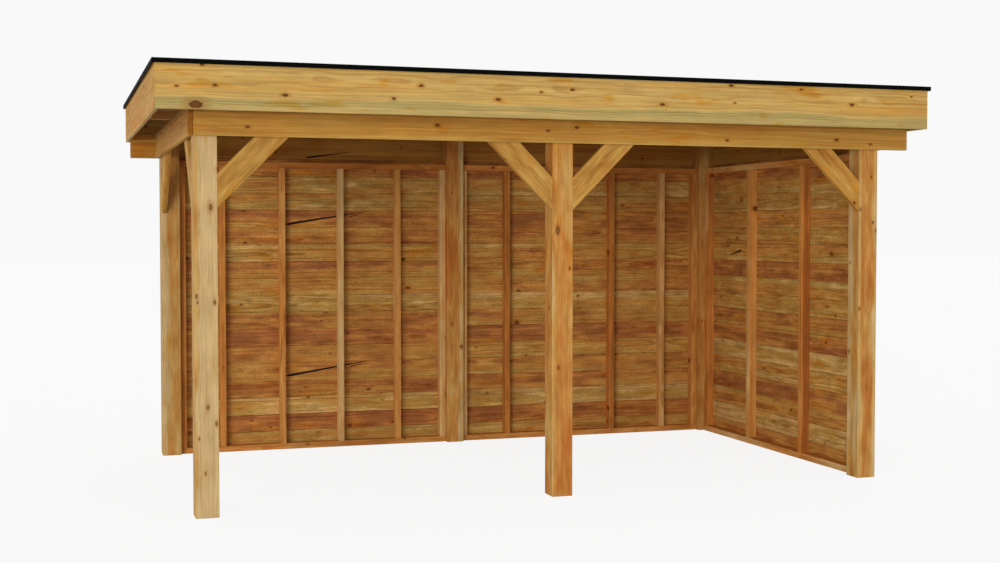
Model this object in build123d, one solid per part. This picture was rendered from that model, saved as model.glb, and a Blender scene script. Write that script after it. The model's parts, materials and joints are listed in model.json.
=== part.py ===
"""Freestanding veranda: timber posts and edge beams under a flat roof, with boarded walls on two sides."""
import os

from build123d import *

# Frame, millimetres. X runs along the front, Y to the back, Z up
frame_length = 4650.0
frame_depth = 2620.0
post_side = 140.0
beam_bottom = 2275.0
beam_height = 180.0
beam_thickness = 32.0

# Corner braces
brace_width = 145.0
brace_thickness = 45.0
brace_inner_reach = 220.0
brace_lap = 120.0

# Roof
overhang = 235.0
joist_width = 45.0
joist_height = 145.0
joist_count = 9
outrigger_share = 0.43
deck_thickness = 18.0
membrane_thickness = 1.5
upstand_height = 74.0
fascia_thickness = 22.0
fascia_drop = 47.0

# Black trim round the roof edge
trim_metal = 3.0
trim_leg = 28.0
trim_projection = 16.0
trim_lip = 12.0

# Wall panels
stud_width = 45.0
stud_depth = 70.0
plate_height = 45.0
plate_gap = 18.0
board_thickness = 20.0
board_count = 17
board_lap = 10.0
joint_depth = 6.0
joint_height = 8.0
back_stud_shares = (0.1, 0.2, 0.3, 0.4, 0.6, 0.7, 0.8, 0.9)
right_stud_shares = (0.334, 0.648)

# How far a cutting shape runs past what it cuts
overrun = 10.0

# Limits of the frame
left, right = -frame_length / 2, frame_length / 2
front, back = -frame_depth / 2, frame_depth / 2
beam_top = beam_bottom + beam_height
inner_left, inner_right = left + post_side, right - post_side
inner_front, inner_back = front + post_side, back - post_side
middle_left, middle_right = -post_side / 2, post_side / 2

# Limits of the roof
roof_left, roof_right = left - overhang, right + overhang
roof_front, roof_back = front - overhang, back + overhang
tray_left, tray_right = roof_left + fascia_thickness, roof_right - fascia_thickness
tray_front, tray_back = roof_front + fascia_thickness, roof_back - fascia_thickness
fascia_bottom = beam_top - fascia_drop
deck_bottom = beam_top + joist_height
deck_top = deck_bottom + deck_thickness
fascia_top = deck_top + upstand_height
trim_top = fascia_top + trim_metal

os.makedirs("parts", exist_ok=True)


def block(x_limits, y_limits, z_limits):
    """Box between three pairs of limits."""
    limits = (x_limits, y_limits, z_limits)
    middle = [(low + high) / 2 for low, high in limits]
    return Pos(*middle) * Box(*[high - low for low, high in limits])


def prism(points, direction, length):
    """Straight prism on a flat outline."""
    return extrude(make_face(Polyline(*points, close=True)), amount=length, dir=direction)


def save(node, *solids):
    """Write one node, as a single solid or several that stand apart."""
    shape = solids[0] if len(solids) == 1 else Compound(children=list(solids))
    export_step(shape, f"parts/{node}.step")


# Posts
columns = {"left": (left, inner_left), "middle": (middle_left, middle_right), "right": (inner_right, right)}
rows = {"front": (front, inner_front), "back": (inner_back, back)}
for row, y_limits in rows.items():
    for column, x_limits in columns.items():
        save(f"post_{row}_{column}", block(x_limits, y_limits, (0, beam_top)))

# Edge beams on the outer faces of the posts, each running out to a fascia at one end
beam_z = (beam_bottom, beam_top)
save("beam_front", block((left, tray_right), (front - beam_thickness, front), beam_z))
save("beam_back", block((tray_left, right), (back, back + beam_thickness), beam_z))
save("beam_left", block((left - beam_thickness, left), (front, back), beam_z))
save("beam_right", block((right, right + beam_thickness), (front, back), beam_z))

# Braces at 45 degrees, cut upright against the post and lapped behind the beam
brace_outer_reach = brace_inner_reach + brace_width * 2 ** 0.5
brace_outline = (
    (0, -brace_inner_reach),
    (brace_inner_reach + brace_lap, brace_lap),
    (brace_outer_reach + brace_lap, brace_lap),
    (0, -brace_outer_reach),
)


def front_brace(post_face, away):
    """Brace behind the front beam, leaving a post's side face to the left or right."""
    points = [(post_face + away * run, front, beam_bottom + rise) for run, rise in brace_outline]
    return prism(points, (0, 1, 0), brace_thickness)


def left_brace(post_face, away):
    """Brace behind the left beam, leaving a post's face to the front or back."""
    points = [(left, post_face + away * run, beam_bottom + rise) for run, rise in brace_outline]
    return prism(points, (1, 0, 0), brace_thickness)


save("brace_front_left", front_brace(inner_left, 1))
save("brace_front_middle_left", front_brace(middle_left, -1))
save("brace_front_middle_right", front_brace(middle_right, 1))
save("brace_front_right", front_brace(inner_right, -1))
save("brace_side_front", left_brace(inner_front, 1))
save("brace_side_back", left_brace(inner_back, -1))

# Roof joists across the depth, the outer ones against the side fascias
joist_z = (beam_top, deck_bottom)
joist_step = (tray_right - tray_left - joist_width) / (joist_count - 1)
joist_lefts = [tray_left + joist_step * number for number in range(joist_count)]
save("roof_joists", *[block((x, x + joist_width), (tray_front, tray_back), joist_z) for x in joist_lefts])

# Outriggers over the side beams, between the two outer joists of each side
outrigger_front = front + frame_depth * outrigger_share - joist_width / 2
outrigger_y = (outrigger_front, outrigger_front + joist_width)
save(
    "roof_outriggers",
    block((joist_lefts[0] + joist_width, joist_lefts[1]), outrigger_y, joist_z),
    block((joist_lefts[-2] + joist_width, joist_lefts[-1]), outrigger_y, joist_z),
)

# Deck, and fascias with the front and back ones covering the ends of the others
save("roof_deck", block((tray_left, tray_right), (tray_front, tray_back), (deck_bottom, deck_top)))
fascia_z = (fascia_bottom, fascia_top)
save("fascia_front", block((roof_left, roof_right), (roof_front, tray_front), fascia_z))
save("fascia_back", block((roof_left, roof_right), (tray_back, roof_back), fascia_z))
save("fascia_left", block((roof_left, tray_left), (tray_front, tray_back), fascia_z))
save("fascia_right", block((tray_right, roof_right), (tray_front, tray_back), fascia_z))

# Membrane: a sheet over the deck, turned up inside the fascias
sheet_left, sheet_right = tray_left + membrane_thickness, tray_right - membrane_thickness
sheet_front, sheet_back = tray_front + membrane_thickness, tray_back - membrane_thickness
tray = block((tray_left, tray_right), (tray_front, tray_back), (deck_top, fascia_top))
hollow_z = (deck_top + membrane_thickness, fascia_top + overrun)
save("roof_membrane", tray - block((sheet_left, sheet_right), (sheet_front, sheet_back), hollow_z))


def ring(outer, inner, z_limits):
    """Rectangular ring, from the roof edge outwards by one margin and inwards by another."""
    x_outer, y_outer = (roof_left - outer, roof_right + outer), (roof_front - outer, roof_back + outer)
    x_inner, y_inner = (roof_left + inner, roof_right - inner), (roof_front + inner, roof_back - inner)
    z_cut = (z_limits[0] - overrun, z_limits[1] + overrun)
    return block(x_outer, y_outer, z_limits) - block(x_inner, y_inner, z_cut)


# Roof edge trim: a top flange, a leg outside the fascia and a lip inside the membrane
sheet_inset = fascia_thickness + membrane_thickness
lip_inset = sheet_inset + trim_metal
leg_z = (trim_top - trim_leg, trim_top)
trim_ring = ring(trim_projection, lip_inset, (fascia_top, trim_top))
trim_ring += ring(trim_projection, trim_metal - trim_projection, leg_z)
trim_ring += ring(-sheet_inset, lip_inset, (fascia_top - trim_lip, trim_top))

# The trim is mitred at the four corners
mitre = trim_projection + lip_inset + overrun
trim_left, trim_right = roof_left - trim_projection, roof_right + trim_projection
trim_front, trim_back = roof_front - trim_projection, roof_back + trim_projection
trim_corners = {
    "front_left": ((trim_left, trim_front), (trim_left + mitre, trim_front + mitre)),
    "front_right": ((trim_right, trim_front), (trim_right - mitre, trim_front + mitre)),
    "back_right": ((trim_right, trim_back), (trim_right - mitre, trim_back - mitre)),
    "back_left": ((trim_left, trim_back), (trim_left + mitre, trim_back - mitre)),
}
trim_ends = {
    "front": ("front_left", "front_right"),
    "right": ("front_right", "back_right"),
    "back": ("back_right", "back_left"),
    "left": ("back_left", "front_left"),
}
leg_bottom = trim_top - trim_leg - overrun
for side, (start, end) in trim_ends.items():
    (start_outer, start_inner), (end_outer, end_inner) = trim_corners[start], trim_corners[end]
    outline = [(x, y, leg_bottom) for x, y in (start_outer, end_outer, end_inner, start_inner)]
    save(f"trim_{side}", trim_ring & prism(outline, (0, 0, 1), trim_leg + 2 * overrun))

# Wall panels: plates, studs between them, and boards outside flush with the posts
panel_depth = stud_depth + board_thickness
plate_top = beam_bottom - plate_gap
stud_z = (plate_height, plate_top - plate_height)
board_top = beam_bottom + board_lap
board_pitch = board_top / board_count


def board_outline():
    """Section through the boards as depth inwards and height, with a groove at each joint."""
    joints = [board_pitch * number for number in range(1, board_count)]
    outside, inside = [(0, 0)], [(board_thickness, board_top)]
    for joint in joints:
        outside += [(0, joint - joint_height / 2), (joint_depth, joint), (0, joint + joint_height / 2)]
    for joint in reversed(joints):
        groove = ((0, joint_height / 2), (joint_depth, 0), (0, -joint_height / 2))
        inside += [(board_thickness - depth, joint + rise) for depth, rise in groove]
    return outside + [(0, board_top)] + inside + [(board_thickness, 0)]


def back_panel(name, x_limits, shares):
    """Panel between two back posts."""
    y_limits = (back - panel_depth, back - board_thickness)
    low, high = x_limits
    stud_lefts = [left + frame_length * share - stud_width / 2 for share in shares]
    stud_lefts = [low] + stud_lefts + [high - stud_width]
    save(f"{name}_bottom_plate", block(x_limits, y_limits, (0, plate_height)))
    save(f"{name}_top_plate", block(x_limits, y_limits, (stud_z[1], plate_top)))
    save(f"{name}_studs", *[block((x, x + stud_width), y_limits, stud_z) for x in stud_lefts])
    outline = [(low, back - depth, height) for depth, height in board_outline()]
    save(f"{name}_cladding", prism(outline, (1, 0, 0), high - low))


def right_panel(name, y_limits, shares):
    """Panel between the right-hand posts."""
    x_limits = (right - panel_depth, right - board_thickness)
    low, high = y_limits
    stud_fronts = [front + frame_depth * share - stud_width / 2 for share in shares]
    stud_fronts = [low] + stud_fronts + [high - stud_width]
    save(f"{name}_bottom_plate", block(x_limits, y_limits, (0, plate_height)))
    save(f"{name}_top_plate", block(x_limits, y_limits, (stud_z[1], plate_top)))
    save(f"{name}_studs", *[block(x_limits, (y, y + stud_width), stud_z) for y in stud_fronts])
    outline = [(right - depth, low, height) for depth, height in board_outline()]
    save(f"{name}_cladding", prism(outline, (0, 1, 0), high - low))


bay_count = len(back_stud_shares) // 2
back_panel("back_left", (inner_left, middle_left), back_stud_shares[:bay_count])
back_panel("back_right", (middle_right, inner_right), back_stud_shares[bay_count:])
right_panel("right_wall", (inner_front, inner_back), right_stud_shares)
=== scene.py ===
# %% [markdown]
# # A freestanding veranda, dressed in Blender
# The solids of this veranda come from a CAD model: posts, edge beams, braces, a flat roof and
# boarded walls. This lesson keeps every one of them in its place and gives it what a carpenter
# would see: eased edges, growth rings, knots, separate wall boards, screws and nails.

import json
import math
import random

import bpy
from mathutils import Matrix, Vector


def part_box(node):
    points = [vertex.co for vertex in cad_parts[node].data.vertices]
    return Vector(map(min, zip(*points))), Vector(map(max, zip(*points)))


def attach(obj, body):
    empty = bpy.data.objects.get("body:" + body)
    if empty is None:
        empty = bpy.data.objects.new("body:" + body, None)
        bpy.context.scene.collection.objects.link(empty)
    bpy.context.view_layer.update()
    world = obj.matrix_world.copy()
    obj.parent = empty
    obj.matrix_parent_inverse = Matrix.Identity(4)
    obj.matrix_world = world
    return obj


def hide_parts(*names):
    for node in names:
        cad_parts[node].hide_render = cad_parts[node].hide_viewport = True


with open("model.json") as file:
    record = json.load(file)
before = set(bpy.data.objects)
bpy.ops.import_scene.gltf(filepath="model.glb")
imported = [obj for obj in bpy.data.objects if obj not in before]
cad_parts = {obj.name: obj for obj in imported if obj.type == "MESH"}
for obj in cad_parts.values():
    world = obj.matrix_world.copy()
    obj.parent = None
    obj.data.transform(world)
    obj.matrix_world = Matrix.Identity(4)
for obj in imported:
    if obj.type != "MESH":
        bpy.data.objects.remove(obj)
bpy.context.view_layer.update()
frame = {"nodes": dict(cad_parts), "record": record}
nodes = frame["nodes"]
scene = bpy.context.scene
print("solids loaded:", len(nodes))

# %% [markdown]
# ## Small habits
# Operators act on whatever is selected, and loading leaves the solids selected. So each step
# starts by clearing the selection, and names the one object that it works on. Edit-mode operators
# need the mode switched on and off again, so one helper does that for a whole list of steps.

# %% Selection helpers
def work_on(piece):
    """Select one object alone and make it the active one."""
    bpy.ops.object.select_all(action="DESELECT")
    bpy.context.view_layer.objects.active = piece
    piece.select_set(True)


def in_edit_mode(piece, *steps):
    """Run edit-mode operators, each with its settings, on the whole mesh."""
    work_on(piece)
    bpy.ops.object.mode_set(mode="EDIT")
    bpy.ops.mesh.select_mode(type="EDGE")
    for operator, settings in steps:
        bpy.ops.mesh.select_all(action="SELECT")
        operator(**settings)
    bpy.ops.object.mode_set(mode="OBJECT")


print("objects that loading left selected:", len(bpy.context.selected_objects))

# %% [markdown]
# What repeats is modelled once and copied. Each copy gets a mesh of its own, and the move goes into
# that mesh, so every finished object stays at the origin and its pattern can't slide. A finished
# piece is then tied to the veranda, and stands for the solid that it dresses.

# %% Copy, join and settle
mm = 0.001


def copy_of(piece, name, move=Matrix()):
    """A copy with its own mesh, moved in that mesh."""
    made = bpy.data.objects.new(name, piece.data.copy())
    made.data.transform(move)
    scene.collection.objects.link(made)
    return made


def join(pieces, name):
    """Make one object of several."""
    work_on(pieces[0])
    for piece in pieces[1:]:
        piece.select_set(True)
    if len(pieces) > 1:
        bpy.ops.object.join()
    bpy.context.object.name = name
    return bpy.context.object


def settle(piece, slot, *replaced):
    """Give a finished piece its place in the veranda."""
    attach(piece, "root")
    if replaced:
        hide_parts(*replaced)


# %% [markdown]
# ## Writing materials
# A material is a tree of nodes. By hand it is drawn with the mouse; in a script each node takes
# three or four lines, and the idea drowns. This small class adds a node, feeds its sockets and hands
# back its output, so that a recipe reads like a formula. Colours are written as on a screen.

# %% Shades
def shade(red, green, blue):
    """A colour written as on a screen, 0 to 255, turned into the linear values that nodes use."""
    values = [part / 255 for part in (red, green, blue)]
    return [v / 12.92 if v < 0.04045 else ((v + 0.055) / 1.055) ** 2.4 for v in values] + [1.0]


print("a plain mid shade in linear values:", [round(v, 3) for v in shade(128, 128, 128)])

# %% A short way to write nodes
class Recipe:
    """A node tree with short calls that add and join its nodes."""

    def __init__(self, tree):
        self.tree = tree

    def feed(self, socket, value):
        if isinstance(value, bpy.types.NodeSocket):
            self.tree.links.new(value, socket)
        else:
            socket.default_value = value

    def node(self, kind, sockets=None, **settings):
        made = self.tree.nodes.new("ShaderNode" + kind)
        for key, value in settings.items():
            setattr(made, key, value)
        for socket, value in (sockets or {}).items():
            self.feed(made.inputs[socket], value)
        return made

    def math(self, operation, *values, clamp=False):
        made = self.node("Math", dict(enumerate(values)), operation=operation, use_clamp=clamp)
        return made.outputs["Value"]

    def vector(self, operation, *values):
        made = self.node("VectorMath", operation=operation)
        for number, value in enumerate(values):
            self.feed(made.inputs["Scale" if operation == "SCALE" and number else number], value)
        return made.outputs["Value" if operation in ("DOT_PRODUCT", "LENGTH", "DISTANCE") else "Vector"]

    def noise(self, place, scale=1.0, detail=2.0, output="Fac"):
        sockets = {"Vector": place, "Scale": scale, "Detail": detail, "Roughness": 0.55}
        return self.node("TexNoise", sockets).outputs[output]

    def lot(self, number):
        """One random value for each number."""
        return self.node("TexWhiteNoise", {"W": number}, noise_dimensions="1D").outputs["Value"]

    def ease(self, value, start, end, low=0.0, high=1.0):
        sockets = {"Value": value, "From Min": start, "From Max": end, "To Min": low, "To Max": high}
        made = self.node("MapRange", sockets, interpolation_type="SMOOTHSTEP", clamp=True)
        return made.outputs["Result"]

    def seen_directly(self):
        """1 for rays from the camera, a gloss or a glass, and 0 for those that carry light."""
        path = self.node("LightPath").outputs
        seen = self.math("MAXIMUM", path["Is Camera Ray"], path["Is Glossy Ray"])
        return self.math("MAXIMUM", seen, path["Is Transmission Ray"])


# %% Colours in a material
class Finish(Recipe):
    """A material, with the calls that mix its colours."""

    def __init__(self, name):
        self.material = bpy.data.materials.new(name)
        self.material.use_nodes = True
        super().__init__(self.material.node_tree)
        self.shader = self.tree.nodes["Principled BSDF"]

    def attribute(self, name, output="Fac"):
        return self.node("Attribute", attribute_name=name).outputs[output]

    def mix(self, share, first, second, blend="MIX"):
        made = self.node("Mix", data_type="RGBA", blend_type=blend)
        for number, value in ((0, share), (6, first), (7, second)):
            self.feed(made.inputs[number], value)
        return made.outputs[2]

    def stain(self, share, colour, tint):
        """Multiply a colour by a tint, as far as the share says."""
        return self.mix(share, colour, self.mix(1.0, colour, tint, "MULTIPLY"))

    def lighten(self, colour, light):
        """Multiply a colour by a number."""
        grey = self.node("CombineColor", {0: light, 1: light, 2: light}).outputs[0]
        return self.mix(1.0, colour, grey, "MULTIPLY")

    def ramp(self, position, colours):
        made = self.node("ValToRGB", {"Fac": position})
        stops = made.color_ramp.elements
        while len(stops) < len(colours):
            stops.new(0.5)
        for number, colour in enumerate(colours):
            stops[number].position = number / (len(colours) - 1)
            stops[number].color = colour
        return made.outputs["Color"]

    def cover(self, colour, roughness, height, strength, depth, gloss):
        """Feed the shader with a colour, a roughness and a bump."""
        bump = self.node("Bump", {"Height": height, "Strength": strength, "Distance": depth})
        self.feed(self.shader.inputs["Base Color"], colour)
        self.feed(self.shader.inputs["Roughness"], roughness)
        self.feed(self.shader.inputs["Normal"], bump.outputs["Normal"])
        self.shader.inputs["Specular IOR Level"].default_value = gloss
        print("finish:", self.material.name, "with", len(self.tree.nodes), "nodes")


# %% [markdown]
# ## Wood as a solid
# Sawn timber is cut out of a round trunk, so its pattern is a solid one: rings around a heart
# line, stretched along the grain, and knots where branches grew out from the heart. A flat picture
# wrapped round a post would show a seam at each corner. Here each timber carries its own growth as
# mesh attributes: the direction of its grain, a point on its heart line, how far the darker
# heartwood reaches, how knotty it is, and its shade. One recipe of nodes then cuts the right
# pattern on every face, end grain included.
#
# The recipe first works out where a point lay in the trunk: how far along the grain, and how far
# across it from the heart line. Noise that is scaled down along the grain makes streaks, and each
# timber's own drift moves it to another part of the noise, so no two timbers are alike.

# %% Where a point lay in the trunk
drift_step = (17.3, 9.1, 5.7)


class Softwood(Finish):
    """A finish that knows where each point of a timber lay in the trunk."""

    def __init__(self, name):
        super().__init__(name)
        self.grain = self.attribute("grain", "Vector")
        self.tone = self.attribute("tone")
        self.drift = self.attribute("drift")
        self.reach = self.attribute("reach")
        self.knotty = self.attribute("knotty")
        self.place = self.node("TexCoord").outputs["Object"]
        from_heart = self.vector("SUBTRACT", self.place, self.attribute("heart", "Vector"))
        self.along = self.vector("DOT_PRODUCT", from_heart, self.grain)
        self.across = self.vector("SUBTRACT", from_heart, self.vector("SCALE", self.grain, self.along))
        self.shift = self.vector("SCALE", drift_step, self.drift)

    def stretched(self, cross_scale, long_scale):
        """The place, with one scale across the grain and another along it."""
        lengthwise = self.vector("SCALE", self.grain, self.math("MULTIPLY", self.along, long_scale))
        crosswise = self.vector("SCALE", self.across, cross_scale)
        return self.vector("ADD", self.vector("ADD", crosswise, lengthwise), self.shift)

    def centred(self, cross_scale, long_scale, detail=2.0):
        """Noise about zero."""
        return self.math("SUBTRACT", self.noise(self.stretched(cross_scale, long_scale), detail=detail), 0.5)

    def bend(self, cross_scale, long_scale, amount):
        """Noise about zero that points any way, as long as the amount."""
        cloud = self.noise(self.stretched(cross_scale, long_scale), output="Color")
        return self.vector("SCALE", self.vector("SUBTRACT", cloud, (0.5, 0.5, 0.5)), amount)


# %% [markdown]
# ### Knots
# A knot is a branch that the saw cut through, and a branch runs straight out from the heart. So the
# space round the heart line is divided into cells, by the angle round it and the length along it. Each
# cell holds one branch, and the timber's knottiness says how many cells keep theirs. Knots that catch
# the eye can be listed as well. All of them are flattened along the grain.

# %% Knots that grow
knot_squat = 0.45
cells_round, cells_along = 1.2, 2.3
round_drift, along_drift = 3.1, 5.3
least_knot, more_knot = 5 * mm, 7 * mm
out_of_reach = 99.0
# A direction that no timber's grain follows
off_grain = (0.2, 0.4, 0.9)


def grown_knots(f):
    """How far a point is from the nearest branch, in radii of that knot."""
    first_side = f.vector("NORMALIZE", f.vector("CROSS_PRODUCT", f.grain, off_grain))
    second_side = f.vector("CROSS_PRODUCT", f.grain, first_side)
    sideways = [f.vector("DOT_PRODUCT", f.across, side) for side in (second_side, first_side)]
    angle = f.math("ARCTAN2", *sideways)
    round_place = f.math("MULTIPLY_ADD", f.drift, round_drift, f.math("MULTIPLY", angle, cells_round))
    long_place = f.math("MULTIPLY_ADD", f.drift, along_drift, f.math("MULTIPLY", f.along, cells_along))
    cell_place = f.node("CombineXYZ", {"X": round_place, "Y": long_place}).outputs["Vector"]
    cell = f.node("TexVoronoi", {"Vector": cell_place, "Scale": 1.0}, voronoi_dimensions="2D").outputs
    away = f.node("SeparateXYZ", {0: f.vector("SUBTRACT", cell_place, cell["Position"])}).outputs
    far_round = f.math("MULTIPLY", f.math("DIVIDE", away["X"], cells_round), f.vector("LENGTH", f.across))
    far_long = f.math("MULTIPLY", away["Y"], (1 - knot_squat) / cells_along)
    far = f.math("SQRT", f.math("MULTIPLY_ADD", far_round, far_round, f.math("MULTIPLY", far_long, far_long)))
    lots = f.node("SeparateColor", {"Color": cell["Color"]}).outputs
    size = f.math("MULTIPLY_ADD", f.math("POWER", lots["Green"], 2.0), more_knot, least_knot)
    absent = f.math("GREATER_THAN", lots["Red"], f.knotty)
    return f.math("MULTIPLY_ADD", absent, out_of_reach, f.math("DIVIDE", far, size))


# %% All knots
ragged_scale, ragged_depth = (90.0, 50.0), 0.6


def nearest_knot(f, placed, placed_grain):
    """How far a point is from the nearest knot, grown or listed, with ragged rims."""
    nearest = grown_knots(f)
    if placed:
        pull = f.math("MULTIPLY", f.vector("DOT_PRODUCT", f.place, f.grain), -knot_squat)
        squat = f.vector("ADD", f.place, f.vector("SCALE", f.grain, pull))
        for spot, radius in placed:
            squat_spot = spot - placed_grain * (spot.dot(placed_grain) * knot_squat)
            ratio = f.math("DIVIDE", f.vector("DISTANCE", squat, squat_spot), radius)
            nearest = f.math("MINIMUM", nearest, ratio)
    return f.math("MULTIPLY_ADD", f.centred(*ragged_scale), ragged_depth, nearest)


# %% [markdown]
# ### Growth rings
# Each year adds a ring that starts pale and ends in a narrow dark line. The distance from the heart
# gives the rings, but a trunk is never a true cylinder: so that distance is bent by three sizes of
# noise, and pushed out round each knot. Every year also draws a lot, and some come out far darker.

# %% Growth rings
wander_scale, wander_depth = (2.6, 0.5), 60 * mm
figure_scale = (7.0, 2.4)
ripple_scale, ripple_depth = (22.0, 5.0), 8 * mm
knot_swelling = 9 * mm
late_growth, bark_side = 1.7, 0.8
faintest_ring, darker_ring = 0.2, 1.3


def growth_rings(f, halo, look):
    """The distance from the heart, how dark the ring is at a point, and the lot of its year."""
    bent = f.vector("ADD", f.across, f.bend(*wander_scale, wander_depth))
    bent = f.vector("ADD", bent, f.bend(*figure_scale, look["figure"]))
    bent = f.vector("ADD", bent, f.bend(*ripple_scale, ripple_depth))
    radius = f.math("MULTIPLY_ADD", halo, knot_swelling, f.vector("LENGTH", bent))
    turns = f.math("DIVIDE", radius, look["ring_width"])
    late = f.math("FRACT", turns)
    year = f.lot(f.math("ADD", f.math("FLOOR", turns), f.drift))
    ring = f.math("MULTIPLY", f.math("POWER", late, late_growth), f.ease(late, 1.0, bark_side))
    ring = f.math("MULTIPLY", ring, f.math("MULTIPLY_ADD", year, darker_ring, faintest_ring))
    return radius, ring, year


# %% [markdown]
# ### Shade and light
# A finish is a run of shades from heartwood to sapwood. A timber's tone says where in that run it
# lies, and sapwood, broad patches, bands along the grain and spots move a point along the run. That
# changes the hue. How light a point is comes from streaks, fibres and flecks, and changes only that.
# The recipe's settings are shares, and a finish names only those in which it isn't plain.

# %% What plain softwood looks like
plain_look = {
    "sap_shift": 0.5,
    "patch_shift": 0.3,
    "band_shift": 0.3,
    "spot_shift": 0.0,
    "streak_depth": 0.4,
    "mottle": 0.15,
    "fleck_depth": 0.0,
    "ring_depth": 0.6,
    "ring_width": 9 * mm,
    "figure": 22 * mm,
    "resin": 0.0,
    "knot_strength": 0.92,
}
print("settings of a wood finish:", len(plain_look))

# %% Shade along the run
sap_edge = 14 * mm
patch_scale, band_scale = (8.0, 1.8), (1 / (24 * mm), 0.6)
year_shift = 0.12


def run_of_shades(f, colours, radius, year, spots, look):
    """The colour of a point, from heartwood to sapwood."""
    sap = f.ease(radius, f.reach, f.math("ADD", f.reach, sap_edge))
    position = f.math("MULTIPLY_ADD", sap, look["sap_shift"], f.tone)
    position = f.math("MULTIPLY_ADD", f.centred(*patch_scale), look["patch_shift"] * 2, position)
    position = f.math("MULTIPLY_ADD", f.centred(*band_scale, 1.0), look["band_shift"] * 2, position)
    position = f.math("MULTIPLY_ADD", spots, look["spot_shift"] * 2, position)
    position = f.math("MULTIPLY_ADD", f.math("SUBTRACT", year, 0.5), year_shift, position, clamp=True)
    return f.ramp(position, colours)


# %% Light and dark along the grain
# How much each adds, and what it starts from
own_light, fibre_light = (0.12, 0.94), (0.4, 0.8)
fleck_scale, fleck_rims, fleck_balance = (140.0, 45.0), (0.5, 0.7), 0.25


def light_of_grain(f, streak, fibre, spots, look):
    """How light a point is, about one."""
    light = f.math("MULTIPLY_ADD", f.lot(f.drift), *own_light)
    light = f.math("MULTIPLY_ADD", streak, look["streak_depth"] * 2, light)
    light = f.math("MULTIPLY_ADD", spots, look["mottle"] * 2, light)
    light = f.math("MULTIPLY", light, f.math("MULTIPLY_ADD", fibre, *fibre_light))
    depth = look["fleck_depth"]
    if depth:
        fleck = f.ease(f.noise(f.stretched(*fleck_scale)), *fleck_rims)
        base = 1.0 + depth * fleck_balance
        light = f.math("MULTIPLY", light, f.math("MULTIPLY_ADD", fleck, -depth, base))
    return light


# %% [markdown]
# ### The whole recipe
# Here the parts come together. Late wood is warmer than early wood, patches of resin are amber, and
# the sawn ends soak up more stain than the long faces. A knot has a brownish collar, a dark rim and a
# redder middle. The fibres and streaks also give the roughness and a fine bump.

# %% The wood recipe
streak_scale, fibre_scale = (75.0, 1.1), (260.0, 7.0)
spot_scale, resin_scale = (18.0, 5.0), (11.0, 3.2)
late_wood, amber = shade(196, 152, 100), shade(252, 226, 150)
soaked_end, collar = shade(222, 204, 176), shade(222, 172, 112)
knot_middle, knot_rim = shade(104, 56, 20), shade(70, 42, 13)
resin_rims, end_rims = (0.6, 0.66), (0.8, 0.95)
knot_edge, knot_halo, knot_heart = (0.65, 1.05), (0.9, 2.6), (0.3, 0.75)
collar_strength = 0.45
fibre_rough = (0.2, 0.54)
fibre_height = 0.5
wood_bump, wood_bump_depth, wood_gloss = 0.35, 0.8 * mm, 0.08
X, Y, Z = Vector((1, 0, 0)), Vector((0, 1, 0)), Vector((0, 0, 1))


def wood(name, colours, placed=(), placed_grain=X, **changes):
    """Softwood: colours run from the darkest heartwood to the palest sapwood."""
    look = {**plain_look, **changes}
    f = Softwood(name)
    nearest = nearest_knot(f, placed, placed_grain)
    knot, halo = f.ease(nearest, *knot_edge, 1.0, 0.0), f.ease(nearest, *knot_halo, 1.0, 0.0)
    streak, fibre = f.centred(*streak_scale, 3.0), f.noise(f.stretched(*fibre_scale))
    spots = f.centred(*spot_scale, 3.0)
    radius, ring, year = growth_rings(f, halo, look)
    colour = run_of_shades(f, colours, radius, year, spots, look)
    colour = f.stain(f.math("MULTIPLY", ring, look["ring_depth"], clamp=True), colour, late_wood)
    colour = f.lighten(colour, light_of_grain(f, streak, fibre, spots, look))
    if look["resin"]:
        soaked = f.ease(f.noise(f.stretched(*resin_scale)), *resin_rims)
        colour = f.stain(f.math("MULTIPLY", soaked, look["resin"]), colour, amber)
    facing_along = f.vector("DOT_PRODUCT", f.node("NewGeometry").outputs["Normal"], f.grain)
    sawn_end = f.ease(f.math("ABSOLUTE", facing_along), *end_rims)
    colour = f.stain(sawn_end, colour, soaked_end)
    colour = f.stain(f.math("MULTIPLY", halo, collar_strength), colour, collar)
    knot_colour = f.mix(f.ease(nearest, *knot_heart), knot_middle, knot_rim)
    colour = f.mix(f.math("MULTIPLY", knot, look["knot_strength"]), colour, knot_colour)
    rough = f.math("MULTIPLY_ADD", fibre, *fibre_rough)
    height = f.math("MULTIPLY_ADD", fibre, fibre_height, streak)
    f.cover(colour, rough, height, wood_bump, wood_bump_depth, wood_gloss)
    return f.material


# %% [markdown]
# ## The timbers' own shades
# The fascias are the palest boards, the posts range from beige to orange, and the wall boards mix
# reddish, orange, olive and pale yellow planks. Each finish is a short run of shades, and a timber's
# tone says where in that run it lies. The knots that catch the eye on the front are listed one by one,
# each by its share of the timber's length and height; the others come from the recipe.

# %% Knots listed one by one
def knots_on(node, *rows):
    """Knots on a timber's front face: shares of its extent in x and in z, and a radius in millimetres."""
    low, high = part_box(node)
    size = high - low
    return [(Vector((low.x + size.x * x, low.y, low.z + size.z * z)), radius * mm) for x, z, radius in rows]


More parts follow.
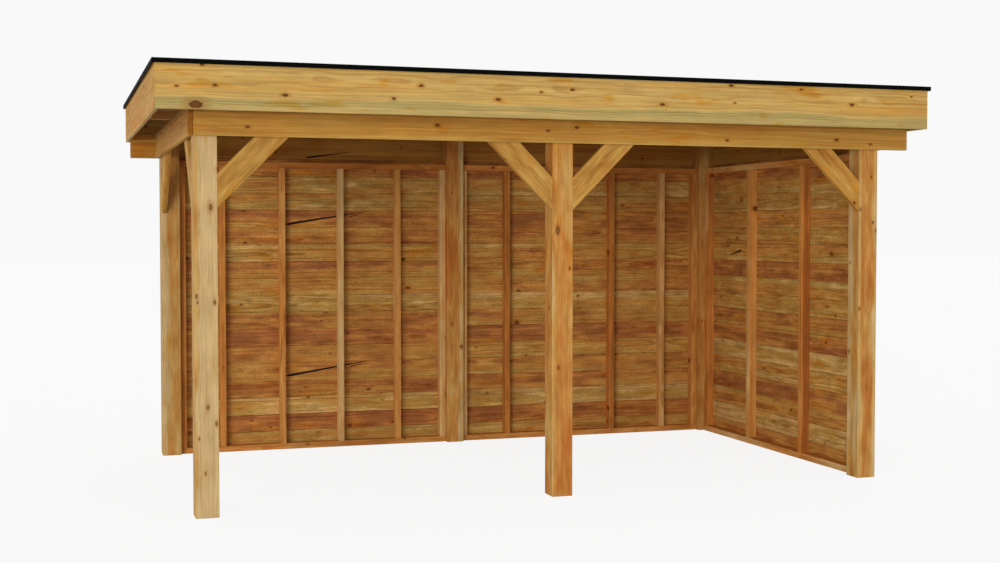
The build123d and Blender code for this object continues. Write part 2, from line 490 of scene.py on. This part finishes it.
fascia_knots = knots_on(
    "fascia_front",
    (0.024, 0.46, 7), (0.066, 0.5, 9), (0.145, 0.34, 11), (0.045, 0.1, 25), (0.052, 0.9, 8), (0.272, 0.34, 8),
    (0.305, 0.63, 9), (0.4, 0.39, 11), (0.495, 0.65, 10), (0.455, 0.58, 6), (0.615, 0.39, 11),
    (0.71, 0.87, 11), (0.81, 0.84, 8), (0.885, 0.52, 11), (0.715, 0.48, 6), (0.975, 0.76, 5))
beam_knots = knots_on(
    "beam_front",
    (0.065, 0.31, 8), (0.305, 0.52, 10), (0.495, 0.56, 10), (0.455, 0.43, 7), (0.715, 0.23, 9),
    (0.885, 0.35, 10), (0.94, 0.2, 7))
post_knots = knots_on(
    "post_front_left",
    (0.72, 0.755, 14), (0.1, 0.54, 10), (0.14, 0.525, 7), (0.86, 0.525, 9), (0.55, 0.27, 9),
    (0.9, 0.23, 9), (0.17, 0.195, 6), (0.43, 0.11, 6))
post_knots += knots_on("post_front_middle", (0.26, 0.7, 18), (0.85, 0.6, 8), (0.3, 0.34, 9))
post_knots += knots_on("post_front_right", (0.66, 0.85, 7), (0.95, 0.7, 8), (0.06, 0.76, 8), (0.06, 0.48, 8))
print("knots placed by hand:", len(fascia_knots) + len(beam_knots) + len(post_knots))

# %% Finishes of the frame
fascia_wood = wood(
    "fascia_pine",
    [shade(198, 130, 50), shade(194, 150, 76), shade(200, 164, 94), shade(190, 160, 98),
     shade(172, 154, 94)],
    figure=34 * mm, ring_depth=0.45, ring_width=13 * mm, resin=0.7, placed=fascia_knots)
beam_wood = wood(
    "beam_pine",
    [shade(178, 114, 46), shade(190, 138, 60), shade(196, 152, 74), shade(192, 160, 88)],
    figure=34 * mm, ring_depth=0.5, ring_width=13 * mm, resin=0.6, placed=beam_knots)
post_wood = wood(
    "post_pine",
    [shade(180, 108, 46), shade(192, 134, 66), shade(198, 154, 86), shade(200, 166, 110),
     shade(206, 176, 124)],
    figure=34 * mm, patch_shift=0.6, band_shift=0.15, streak_depth=0.2, mottle=0.3, spot_shift=0.25,
    ring_depth=0.3, resin=0.5, knot_strength=0.7, placed=post_knots, placed_grain=Z)
brace_wood = wood(
    "brace_pine",
    [shade(172, 110, 44), shade(186, 135, 62), shade(194, 150, 76), shade(192, 160, 92)],
    figure=40 * mm, patch_shift=0.5, streak_depth=0.15, mottle=0.4, spot_shift=0.5, ring_depth=0.4, resin=0.6)

# %% Finishes of the walls and the roof's inside
stud_wood = wood(
    "stud_pine",
    [shade(158, 94, 42), shade(198, 126, 57), shade(210, 150, 79), shade(216, 178, 119)],
    mottle=0.25, spot_shift=0.15)
# The dark browns of this finish are painted shade under the roof, over the pine's own colour.
joist_wood_painted_shade = wood("joist_pine_painted_shade", [shade(84, 44, 16), shade(112, 60, 22), shade(132, 78, 32)])
cladding_wood = wood(
    "cladding_pine",
    [shade(164, 102, 56), shade(178, 116, 60), shade(190, 132, 64), shade(188, 140, 70),
     shade(184, 147, 77), shade(205, 166, 102)],
    sap_shift=0.25, patch_shift=0.55, band_shift=0.3, streak_depth=0.38, mottle=0.5, spot_shift=0.4,
    ring_depth=0.7, ring_width=11 * mm, resin=0.6, fleck_depth=0.35)

# %% [markdown]
# ## Plain finishes
# Rubber, coated metal, steel and the painted shade inside a split have no grain. They still aren't one
# flat colour: a cloudy noise shifts the shade and the roughness a little, and a fine grit makes the bump.

# %% A plain finish
grit_to_cloud = 60
grit_bump = 0.3
rough_range = 0.2


def plain_finish(name, colour, roughness, mottle, scale, bump_depth, metal=0.0, gloss=0.3):
    """A sheet, a coating, or the painted shade inside a split, with faint mottling."""
    f = Finish(name)
    place = f.node("TexCoord").outputs["Object"]
    cloud = f.noise(place, scale, 4.0)
    grit = f.noise(place, scale * grit_to_cloud, 2.0)
    light = f.math("MULTIPLY_ADD", cloud, mottle, 1 - mottle / 2)
    rough = f.math("MULTIPLY_ADD", cloud, rough_range, roughness - rough_range / 2)
    f.cover(f.lighten(colour, light), rough, grit, grit_bump, bump_depth, gloss)
    f.shader.inputs["Metallic"].default_value = metal
    return f.material


# %% [markdown]
# ## Drying splits
# Some timbers split while they dry. A split is a long sliver that tapers to nothing at both ends, so
# a flat four-sided cone makes a good chisel: its rim gives the sliver and its point the depth. A
# Boolean modifier cuts it out of the timber, and the faces of the cut take the chisel's near-black
# finish, which is painted shade inside the split.

# %% Where a split runs
def split_ends(node, run, shares):
    """Two points on a node's inner face, from shares of its length and of its height."""
    low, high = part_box(node)
    size = high - low
    return [low + run * (size.dot(run) * share) + Z * (size.z * rise) for share, rise in shares]


# %% The chisel
# The near-black finish on a split's faces is painted shade, standing in for the shade deep in the crack.
split_painted_shade = plain_finish(
    "split_painted_shade", shade(44, 20, 8),
    roughness=0.9, mottle=0.6, scale=40.0, bump_depth=0.5 * mm)
split_depth, split_lean = 14 * mm, -0.85
chisel_rim = 1 * mm


def cut_split(board, start, end, width, into):
    """Cut one drying split into a board, from start to end on its face."""
    bpy.ops.object.select_all(action="DESELECT")
    bpy.ops.mesh.primitive_cone_add(vertices=4, radius1=1, radius2=0, depth=1, location=(0, 0, 0.5))
    chisel = bpy.context.object
    bpy.ops.object.transform_apply(location=True, rotation=True, scale=True)
    for vertex in chisel.data.vertices:
        vertex.co.x += abs(vertex.co.y) * split_lean
    length = end - start
    turn = Matrix((length.normalized(), into.cross(length).normalized(), into)).transposed().to_4x4()
    size = Matrix.Diagonal((length.length / 2, width / 2, split_depth + chisel_rim, 1))
    chisel.data.transform(Matrix.Translation((start + end) / 2 - into * chisel_rim) @ turn @ size)
    chisel.data.materials.append(split_painted_shade)
    in_edit_mode(chisel, (bpy.ops.mesh.normals_make_consistent, {"inside": False}))
    work_on(board)
    cut = board.modifiers.new("split", "BOOLEAN")
    cut.operation, cut.solver, cut.material_mode, cut.object = "DIFFERENCE", "EXACT", "TRANSFER", chisel
    bpy.ops.object.modifier_apply(modifier=cut.name)
    bpy.data.objects.remove(chisel)
    print("split of", round(length.length / mm), "mm in", board.name)


# %% [markdown]
# ## Dressing a timber
# A planed timber never has razor edges: the planer eases them by a few millimetres, and that thin
# band of light along an edge is what makes a beam read as wood. Each solid is copied, its loose
# triangles are merged back into flat faces, and the edges are bevelled.

# %% Copy a solid and ease its edges
same_point, same_plane = 0.05 * mm, math.radians(1)


def merged_copy(node, name):
    """A copy of a CAD solid with its triangles merged into flat faces."""
    piece = copy_of(nodes[node], name)
    in_edit_mode(
        piece,
        (bpy.ops.mesh.customdata_custom_splitnormals_clear, {}),
        (bpy.ops.mesh.remove_doubles, {"threshold": same_point}),
        (bpy.ops.mesh.dissolve_limited, {"angle_limit": same_plane}),
    )
    return piece


def ease_edges(piece, width, segments=2):
    """Bevel every edge of a piece."""
    in_edit_mode(piece, (bpy.ops.mesh.bevel, {"offset": width, "segments": segments, "affect": "EDGES"}))


# %% [markdown]
# A node may hold several timbers that stand apart, such as all the studs of a wall. Each island of
# joined vertices is one timber, so each gets its own heart line, shade and drift through the
# pattern. The grain follows the island's longest edge, which also holds for the sloping braces.

# %% Separate timbers of a mesh
def islands(mesh):
    """Groups of joined vertices: one for each separate timber of a mesh."""
    group = list(range(len(mesh.vertices)))

    def top(number):
        while group[number] != number:
            group[number] = group[group[number]]
            number = group[number]
        return number

    for edge in mesh.edges:
        group[top(edge.vertices[0])] = top(edge.vertices[1])
    found = {}
    for number in range(len(mesh.vertices)):
        found.setdefault(top(number), []).append(number)
    return list(found.values())


def long_direction(mesh, members):
    """The direction of the longest edge, which is the way the timber was sawn."""
    chosen = set(members)
    edges = [edge for edge in mesh.edges if edge.vertices[0] in chosen]
    ends = [[mesh.vertices[v].co for v in edge.vertices] for edge in edges]
    first, second = max(ends, key=lambda pair: (pair[1] - pair[0]).length)
    return (second - first).normalized()


sample = merged_copy("roof_joists", "joist_sample")
print("joists found apart:", len(islands(sample.data)))
bpy.data.meshes.remove(sample.data)

# %% Growth of each timber
dice = random.Random(7)
growth_facts = ("grain", "heart", "tone", "drift", "reach", "knotty")


def write_attribute(mesh, name, values):
    """Store one number or vector for each vertex."""
    vectors = isinstance(values[0], Vector)
    layer = mesh.attributes.new(name, "FLOAT_VECTOR" if vectors else "FLOAT", "POINT")
    flat = [part for value in values for part in value] if vectors else values
    layer.data.foreach_set("vector" if vectors else "value", flat)


def grow(piece, tones=(0.4,), heart=None, reach=0.08, spread=0.08, wander=0.04, knotty=0.45):
    """Write the growth of each separate timber of a piece, with the tones in turn from left or front."""
    mesh = piece.data
    facts = {name: [0.0] * len(mesh.vertices) for name in growth_facts}
    timbers = [([mesh.vertices[v].co for v in members], members) for members in islands(mesh)]
    timbers.sort(key=lambda pair: sum(point.x + point.y for point in pair[0]) / len(pair[0]))
    for number, (points, members) in enumerate(timbers):
        middle = sum(points, Vector()) / len(points)
        off = Vector([dice.uniform(-wander, wander) for _ in range(3)])
        own = {
            "grain": long_direction(mesh, members),
            "heart": middle + (Vector(heart) if heart else off),
            "tone": tones[number % len(tones)] + dice.uniform(-spread, spread),
            "drift": dice.uniform(0, 9),
            "reach": reach,
            "knotty": knotty,
        }
        for vertex in members:
            for name, value in own.items():
                facts[name][vertex] = value
    for name, values in facts.items():
        write_attribute(mesh, name, values)


# %% Dress one solid
def timber(node, material, ease=3 * mm, splits=(), **growth):
    """Dress one CAD node as planed timber, with its splits if it has any."""
    piece = merged_copy(node, node + "_timber")
    ease_edges(piece, ease)
    piece.data.materials.clear()
    piece.data.materials.append(material)
    for split in splits:
        cut_split(piece, *split)
    grow(piece, **growth)
    slot = next(part["material_slot"] for part in frame["record"]["subparts"] if part["node"] == node)
    settle(piece, slot, node)


# %% [markdown]
# ## Posts
# Each post shows where in the trunk it was sawn. The front right one holds the heart just in front of
# its middle, so its face has a stripe of orange heartwood with pale sapwood on both sides. The middle
# one is nearly all heartwood, and the left one was sawn beside the heart, so it is the palest. The
# heart is given from the post's middle, and the reach of the heartwood from the heart, both in metres.

# %% Posts
post_growth = {
    "post_front_left": {"tones": (0.5,), "reach": 0.09, "heart": (-0.08, 0.02, 0), "knotty": 0.1},
    "post_front_middle": {"tones": (0.3,), "reach": 0.112, "heart": (0.02, 0.01, 0), "knotty": 0.1},
    "post_front_right": {"tones": (0.21,), "reach": 0.065, "heart": (0.0, -0.02, 0), "knotty": 0.1},
    "post_back_left": {"tones": (0.34,), "reach": 0.09, "heart": (0.02, 0.01, 0), "knotty": 0.3},
    "post_back_middle": {"tones": (0.25,), "reach": 0.1, "heart": (-0.04, 0.0, 0), "knotty": 0.3},
    "post_back_right": {"tones": (0.3,), "reach": 0.12, "heart": (0.0, 0.02, 0), "knotty": 0.3},
}
for node, growth in post_growth.items():
    timber(node, post_wood, ease=4 * mm, spread=0.02, **growth)
print("posts:", len(post_growth))

# %% [markdown]
# ## Beams, braces and fascias
# These are flat-sawn boards. Their heart line lay beside the board, so a face cuts the rings at a
# flat angle and shows long arches. On the long fascias the lower edge reaches out into the greenish
# sapwood under the bark. The front boards have only the listed knots. Hearts and reaches are
# in metres again.

# %% Beams and fascias
inward = {"front": Y, "back": -Y, "left": X, "right": -X}
beam_tones = {"front": 0.36, "back": 0.18, "left": 0.24, "right": 0.24}
fascia_tones = {"front": 0.42, "back": 0.42, "left": 0.16, "right": 0.16}
fascia_reach = {"front": 0.142, "back": 0.142, "left": 0.2, "right": 0.2}
back_beam_split = (*split_ends("beam_back", X, ((0.272, 0.12), (0.366, 0.48))), 16 * mm, Y)
for side, inwards in inward.items():
    knotty = 0.0 if side == "front" else 0.4
    splits = [back_beam_split] if side == "back" else []
    timber(f"beam_{side}", beam_wood, splits=splits, tones=(beam_tones[side],),
           heart=inwards * 0.07 + Z * 0.03, reach=0.13, spread=0.04, knotty=knotty)
    timber(f"fascia_{side}", fascia_wood, tones=(fascia_tones[side],),
           heart=inwards * 0.08 + Z * 0.05, reach=fascia_reach[side], spread=0.02, knotty=knotty)
print("beams and fascias:", 2 * len(inward))

# %% Braces
braces = [node for node in sorted(nodes) if node.startswith("brace_")]
for node in braces:
    inwards = X if "side" in node else Y
    timber(node, brace_wood, tones=(0.45,), heart=inwards * 0.07, reach=0.2, spread=0.06, knotty=0.25)
print("braces:", len(braces))

# %% [markdown]
# ## Wall frames and roof joists
# Studs, plates, joists and outriggers are plainer stock. They are dressed in the same way, with a
# smaller ease on their edges. The studs differ most: a pale one stands beside golden and orange ones.

# %% Studs, plates, joists
outwards = {"back_left": Y, "back_right": Y, "right_wall": X}
stud_tones = {
    "back_left": (0.35, 0.4, 0.5, 1.0, 0.65, 0.95),
    "back_right": (0.8, 0.3, 0.4, 0.25, 0.75, 0.5),
    "right_wall": (0.2, 0.0, 0.55, 0.3),
}
stud_reach = {"back_left": 0.2, "back_right": 0.2, "right_wall": 0.088}
for panel, out in outwards.items():
    stock = {"ease": 2 * mm, "heart": out * 0.06, "reach": stud_reach[panel], "spread": 0.04}
    timber(f"{panel}_studs", stud_wood, tones=stud_tones[panel], knotty=0.12, **stock)
    timber(f"{panel}_top_plate", stud_wood, tones=(0.3,), knotty=0.2, **stock)
    timber(f"{panel}_bottom_plate", stud_wood, tones=(0.52,), knotty=0.2, **stock)
timber("roof_joists", joist_wood_painted_shade, ease=2 * mm, tones=(0.5,), heart=Z * 0.12, reach=0.08, spread=0.2)
timber("roof_outriggers", stud_wood, ease=2 * mm, tones=(0.7,), heart=Z * 0.12, reach=0.2, spread=0.05)
print("wall frames:", len(outwards))

# %% [markdown]
# ## Wall boards
# The CAD wall is one grooved sheet. Here it becomes separate boards: one board is modelled and copied
# up the wall, and the edges of each are chamfered, some more than others, so that two boards meet in a
# fine dark groove. Every row has a shade of its own, because boards from different trunks are mixed in
# a pack.

# %% Boards side by side
def lay_boards(name, low, high, count, step):
    """Boards from one corner, each stepped from the last, before they are joined."""
    bpy.ops.object.select_all(action="DESELECT")
    first_high = high - step * (count - 1)
    bpy.ops.mesh.primitive_cube_add(size=1, location=(low + first_high) / 2)
    first = bpy.context.object
    first.scale = first_high - low
    bpy.ops.object.transform_apply(location=True, rotation=True, scale=True)
    return [first] + [copy_of(first, f"{name}_{n}", Matrix.Translation(step * n)) for n in range(1, count)]


# %% Shades of the boards, from the floor up
board_tones = {
    "red": 0.12,
    "umber": 0.22,
    "orange": 0.32,
    "golden": 0.42,
    "tan": 0.5,
    "olive": 0.66,
    "pale": 0.78,
}
back_rows = ("olive", "red", "pale", "umber", "golden", "tan", "red", "orange", "olive", "golden", "umber",
             "tan", "orange", "umber", "tan", "olive", "red")
right_rows = ("umber", "pale", "orange", "umber", "tan", "pale", "red", "orange", "olive", "tan", "umber",
              "golden", "tan", "orange", "olive", "golden", "umber")
board_rows = {"back_left": back_rows, "back_right": back_rows, "right_wall": right_rows}
board_count = len(back_rows)
print("rows of boards:", board_count)

# %% Wall boards
board_chamfers = (2.5 * mm, 4 * mm, 7 * mm)
# Each split starts and ends at a share of the wall's length, from left or front, and a share of its height
split_shares = {
    "back_left": [((0.364, 0.771), (0.78, 0.833), 22 * mm), ((0.63, 0.802), (0.7, 0.815), 9 * mm),
                  ((0.364, 0.246), (0.78, 0.306), 22 * mm), ((0.63, 0.275), (0.7, 0.288), 9 * mm)],
    "back_right": [],
    "right_wall": [((0.765, 0.685), (0.875, 0.66), 20 * mm)],
}
for panel, into in outwards.items():
    low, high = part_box(f"{panel}_cladding")
    pitch = (high.z - low.z) / board_count
    boards = lay_boards(f"{panel}_board", low, high, board_count, Z * pitch)
    for board in boards:
        ease_edges(board, dice.choice(board_chamfers), segments=1)
        board.data.materials.append(cladding_wood)
    run = Y if into == X else X
    for *shares, width in split_shares[panel]:
        start, end = split_ends(f"{panel}_cladding", run, shares)
        row = int(((start.z + end.z) / 2 - low.z) / pitch)
        cut_split(boards[row], start, end, width, into)
    for board, row in zip(boards, board_rows[panel]):
        grow(board, tones=(board_tones[row],), heart=into * 0.06 + Z * dice.uniform(-0.04, 0.04),
             reach=dice.uniform(0.07, 0.1), spread=0.05, knotty=0.22)
    settle(join(boards, f"{panel}_boards"), "cladding_timber", f"{panel}_cladding")
    print(panel, "boards:", board_count, "pitch mm:", round(pitch / mm, 1))

# %% [markdown]
# ## Roof deck
# The underside of the roof is boarded too, across the joists. The boards lie on a steady pitch, and
# they are seen only from below, so they are made like the wall boards and share the joists' finish,
# whose dark brown is painted shade under the roof.

# %% Deck boards
deck_board_width = 0.135
low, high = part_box("roof_deck")
deck_count = round((high.y - low.y) / deck_board_width)
deck_boards = lay_boards("deck_board", low, high, deck_count, Y * ((high.y - low.y) / deck_count))
for board in deck_boards:
    grow(board, tones=(0.4,), heart=Z * 0.06, reach=0.08, spread=0.3)
    ease_edges(board, 2.5 * mm, segments=1)
    board.data.materials.append(joist_wood_painted_shade)
settle(join(deck_boards, "roof_deck_boards"), "deck_timber", "roof_deck")
print("deck boards:", deck_count)

# %% [markdown]
# ## Roof sheet
# A flat roof like this is covered with one black rubber sheet, turned up inside the fascias. The
# sheet never lies dead flat, so it starts as a fine grid with a shallow waviness. Its border is then
# extruded upwards, and Solidify gives it its thickness.

# %% A wavy sheet
rubber = plain_finish(
    "roof_rubber", shade(46, 46, 48),
    roughness=0.7, mottle=1.1, scale=1.7, bump_depth=0.5 * mm)
sheet_thickness, wave_height, wave_length = 1.5 * mm, 8 * mm, 0.45
sharpest_fold = math.radians(40)
low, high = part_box("roof_membrane")
sheet_middle = ((low.x + high.x) / 2, (low.y + high.y) / 2, low.z + sheet_thickness)
bpy.ops.object.select_all(action="DESELECT")
bpy.ops.mesh.primitive_grid_add(x_subdivisions=72, y_subdivisions=44, size=1, location=sheet_middle)
sheet = bpy.context.object
sheet.name = "roof_sheet"
sheet.scale = (high.x - low.x, high.y - low.y, 1)
bpy.ops.object.transform_apply(location=True, rotation=True, scale=True)
ripples = bpy.data.textures.new("sheet_ripples", "CLOUDS")
ripples.noise_scale = wave_length
swell = sheet.modifiers.new("waviness", "DISPLACE")
swell.texture, swell.strength, swell.mid_level, swell.direction = ripples, wave_height, 0.0, "Z"
bpy.ops.object.modifier_apply(modifier=swell.name)
print("sheet squares:", len(sheet.data.polygons))

# %% Its border turned up, and its thickness
work_on(sheet)
bpy.ops.object.mode_set(mode="EDIT")
bpy.ops.mesh.select_mode(type="EDGE")
bpy.ops.mesh.select_all(action="DESELECT")
bpy.ops.mesh.select_non_manifold(extend=False, use_boundary=True, use_wire=False, use_multi_face=False,
                                 use_non_contiguous=False, use_verts=False)
bpy.ops.mesh.extrude_region_move(TRANSFORM_OT_translate={"value": (0, 0, 1)})
bpy.ops.object.mode_set(mode="OBJECT")
for vertex in sheet.data.vertices:
    vertex.co.z = min(vertex.co.z, high.z)
thick = sheet.modifiers.new("thickness", "SOLIDIFY")
thick.thickness, thick.offset = sheet_thickness, -1.0
bpy.ops.object.modifier_apply(modifier=thick.name)
in_edit_mode(sheet, (bpy.ops.mesh.normals_make_consistent, {"inside": False}))
bpy.ops.object.shade_smooth_by_angle(angle=sharpest_fold)
sheet.data.materials.append(rubber)
settle(sheet, "roof_membrane", "roof_membrane")
print("roof sheet faces:", len(sheet.data.polygons))

# %% [markdown]
# ## Roof edge trim
# The folded trim caps the fascia and stands a finger's width in front of it, so that rain drips
# clear of the wood. Its folds are slightly round, which a narrow bevel gives.

# %% Trim
black_coat = plain_finish(
    "black_coated_trim", shade(4, 4, 4),
    roughness=0.8, mottle=0.3, scale=8.0, bump_depth=0.1 * mm, gloss=0.05)
fold_radius = 0.7 * mm
for side in inward:
    trim = merged_copy(f"trim_{side}", f"trim_{side}_folded")
    ease_edges(trim, fold_radius)
    trim.data.materials.clear()
    trim.data.materials.append(black_coat)
    settle(trim, "edge_trim", f"trim_{side}")
print("trims:", len(inward))

# %% [markdown]
# ## Screws and nails
# The frame is held by countersunk screws and the wall boards by nails, driven from outside. One head
# of each is modelled: a short cylinder with a sloping rim and, on the screw, a recess pushed into its
# top. Copies are then turned to the face that they sit in.

# %% One screw head and one nail head
steel = plain_finish(
    "zinc_steel", shade(150, 138, 104),
    roughness=0.4, mottle=0.3, scale=30.0, bump_depth=0.05 * mm, metal=1.0)
head_proud, head_sunk, head_crown = 0.5 * mm, 1.5 * mm, 0.2 * mm
rim_share, recess_share = 0.15, 0.3


def pick_faces(piece, wanted):
    """Select in edit mode the faces for which the test holds, and stay there."""
    work_on(piece)
    for part in (piece.data.vertices, piece.data.edges, piece.data.polygons):
        part.foreach_set("select", [False] * len(part))
    for face in piece.data.polygons:
        face.select = wanted(face)
    bpy.ops.object.mode_set(mode="EDIT")
    bpy.ops.mesh.select_mode(type="FACE")


def model_head(name, sides, radius, recess):
    """A flat head that stands slightly proud, pointing up, at the origin."""
    bpy.ops.object.select_all(action="DESELECT")
    bpy.ops.mesh.primitive_cylinder_add(vertices=sides, radius=radius, depth=head_proud + head_sunk,
                                        location=(0, 0, (head_proud - head_sunk) / 2))
    head = bpy.context.object
    head.name = name
    bpy.ops.object.transform_apply(location=True, rotation=True, scale=True)
    pick_faces(head, lambda face: face.normal.z > 0.9)
    bpy.ops.mesh.inset(thickness=radius * rim_share, depth=0)
    bpy.ops.transform.translate(value=(0, 0, head_crown))
    if recess:
        bpy.ops.mesh.inset(thickness=radius * recess_share, depth=0)
        bpy.ops.mesh.extrude_region_move(TRANSFORM_OT_translate={"value": (0, 0, -recess)})
    bpy.ops.object.mode_set(mode="OBJECT")
    print(name, "faces:", len(head.data.polygons))
    return head


screw = model_head("screw_head", sides=10, radius=4.5 * mm, recess=1.2 * mm)
nail = model_head("nail_head", sides=8, radius=3 * mm, recess=0)

# %% Heads in many places
def drive(head, name, spots):
    """Copy a head to each spot, a place and the direction it faces, and join the copies."""
    heads = []
    for number, (at, facing) in enumerate(spots):
        turn = facing.to_track_quat("Z", "Y").to_matrix().to_4x4()
        heads.append(copy_of(head, f"{name}_{number}", Matrix.Translation(at) @ turn))
    joined = join(heads, name)
    joined.data.materials.append(steel)
    settle(joined, "fixings")
    print(name, len(spots))


def middles(node):
    """The middle of each separate timber in a node."""
    mesh = bpy.data.objects[node + "_timber"].data
    groups = [[mesh.vertices[v].co for v in members] for members in islands(mesh)]
    return [sum(points, Vector()) / len(points) for points in groups]


# %% [markdown]
# ### Where they go
# Two screws hold a beam to each post behind it, one higher than the other so that the wood doesn't
# split along one fibre. The long fascias are screwed to the ends of the joists, and each wall board has
# two nails at every stud. So the places come from the timbers, and follow them if their sizes change.

# %% Screws through the beams
# The way each side faces, and which corner of a box lies on that side
sides = {"front": (-Y, 0), "back": (Y, 1), "left": (-X, 0), "right": (X, 1)}
# A shift along the beam and a rise, from the middle of the joint
beam_screw_offsets = ((-0.035, 0.05), (0.035, -0.05))
beam_spots = []
for side, (out, end) in sides.items():
    axis = 0 if out.x else 1
    run = 1 - axis
    beam_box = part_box(f"beam_{side}")
    for node in post_growth:
        if side in node.split("_"):
            for shift, rise in beam_screw_offsets:
                spot = sum(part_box(node), Vector()) / 2
                spot[axis], spot[run], spot.z = beam_box[end][axis], spot[run] + shift, rise
                spot.z += (beam_box[0].z + beam_box[1].z) / 2
                beam_spots.append((spot, out))
drive(screw, "beam_screws", beam_spots)

# %% Screws through the fascias
fascia_screw_rises = (-0.035, 0.075)
side_screw_count = 6
fascia_spots = []
for side, (out, end) in sides.items():
    axis = 0 if out.x else 1
    run = 1 - axis
    fascia_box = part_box(f"fascia_{side}")
    if run == 0:
        stops = [middle.x for middle in middles("roof_joists")]
    else:
        reach = fascia_box[1].y - fascia_box[0].y
        stops = [fascia_box[0].y + reach * (n + 0.5) / side_screw_count for n in range(side_screw_count)]
    for stop in stops:
        for rise in fascia_screw_rises:
            spot = sum(fascia_box, Vector()) / 2
            spot[axis], spot[run], spot.z = fascia_box[end][axis], stop, spot.z + rise
            fascia_spots.append((spot, out))
drive(screw, "fascia_screws", fascia_spots)

# %% Nails through the wall boards
nail_shares = (0.25, 0.75)
nail_spots = []
for panel, out in outwards.items():
    axis = 0 if out == X else 1
    low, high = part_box(f"{panel}_cladding")
    pitch = (high.z - low.z) / board_count
    for middle in middles(f"{panel}_studs"):
        for row in range(board_count):
            for share in nail_shares:
                spot = middle.copy()
                spot[axis], spot.z = high[axis], low.z + pitch * (row + share)
                nail_spots.append((spot, out))
drive(nail, "board_nails", nail_spots)
for head in (screw, nail):
    bpy.data.objects.remove(head)

# %% [markdown]
# ## Floor
# The veranda stands on a plain pale floor. To the camera, and to anything glossy, most of it glows
# plain white, so it is seen as nearly white without more light on the wood. The rest is an ordinary
# pale surface, which takes the veranda's shadow and throws light up under the roof.

# %% Floor
floor_size, floor_grey, floor_rough, glow_share = 160, 0.92, 0.9, 0.88
bpy.ops.object.select_all(action="DESELECT")
bpy.ops.mesh.primitive_plane_add(size=floor_size)
floor = bpy.context.object
floor.name = "floor"
f = Finish("pale_floor")
f.shader.inputs["Base Color"].default_value = (floor_grey, floor_grey, floor_grey, 1)
f.shader.inputs["Roughness"].default_value = floor_rough
white = f.node("Emission", {"Color": (1, 1, 1, 1), "Strength": 1.0})
glow = f.math("MULTIPLY", f.seen_directly(), glow_share)
blend = f.node("MixShader", {0: glow, 1: f.shader.outputs[0], 2: white.outputs[0]})
f.feed(f.tree.nodes["Material Output"].inputs["Surface"], blend.outputs[0])
floor.data.materials.append(f.material)
print("floor size m:", floor_size)

# %% [markdown]
# ## Light
# An even sky lights the veranda at about the level at which a shade looks as it was written. What the
# camera sees behind the veranda is a second, brighter background, matched to the far floor. Two broad
# soft lamps from the left front give some direction, and the lower one reaches the walls under the
# roof. A long low box further off adds a little more in there, and its narrow spread keeps it from
# marking the floor.

# %% Sky
sky_strength, backdrop_strength = 0.575, 0.946
world = bpy.data.worlds.new("sky")
scene.world = world
world.use_nodes = True
w = Recipe(world.node_tree)
sky = w.tree.nodes["Background"]
sky.inputs["Color"].default_value = (1, 1, 1, 1)
sky.inputs["Strength"].default_value = sky_strength
backdrop = w.node("Background", {"Color": (1, 1, 1, 1), "Strength": backdrop_strength})
either = w.node("MixShader", {0: w.seen_directly(), 1: sky.outputs[0], 2: backdrop.outputs[0]})
w.feed(w.tree.nodes["World Output"].inputs["Surface"], either.outputs[0])
print("sky strength:", sky_strength)

# %% Lamps
def soft_sun(name, height, from_left, strength, softness):
    """A broad lamp, by its height above the floor and its angle left of the front, in degrees."""
    turn = (math.radians(90 - height), 0, math.radians(-from_left))
    bpy.ops.object.light_add(type="SUN", rotation=turn)
    lamp = bpy.context.object
    lamp.name = name
    lamp.data.energy = strength
    lamp.data.angle = math.radians(softness)
    print(name, "strength:", strength)


soft_sun("left_front_lamp", height=34, from_left=42, strength=0.18, softness=45)
soft_sun("low_front_lamp", height=5, from_left=38, strength=0.76, softness=24)

# %% Box lamp
box_place, box_aim = (-12.0, -19.0, 1.85), X * 1.2 + Z * 1.4
box_length, box_height, box_energy, box_spread = 8.5, 0.85, 130, math.radians(60)
bpy.ops.object.light_add(type="AREA", location=box_place)
box_lamp = bpy.context.object
box_lamp.name = "low_box_lamp"
box_lamp.rotation_euler = (box_aim - box_lamp.location).to_track_quat("-Z", "Y").to_euler()
box_lamp.data.shape, box_lamp.data.size, box_lamp.data.size_y = "RECTANGLE", box_length, box_height
box_lamp.data.energy, box_lamp.data.spread = box_energy, box_spread
box_lamp.visible_camera = False
print("box lamp energy:", box_energy)

# %% [markdown]
# ## Camera
# The veranda is seen from standing eye height, to the left of its middle and turned to the right, so
# that the front, the open left side and the inside of the right-hand wall show. The camera looks
# down by only two degrees, which keeps the posts nearly upright.

# %% Camera
eye = Vector((-3.14, -9.67, 1.695))
turn_right, tilt_down = math.radians(18.0), math.radians(1.96)
bpy.ops.object.camera_add(location=eye, rotation=(math.pi / 2 - tilt_down, 0, -turn_right))
camera = bpy.context.object
camera.data.sensor_width = 36.0
camera.data.lens = 50.0
scene.camera = camera
scene.view_settings.view_transform = "Standard"
print("camera height m:", round(eye.z, 3))
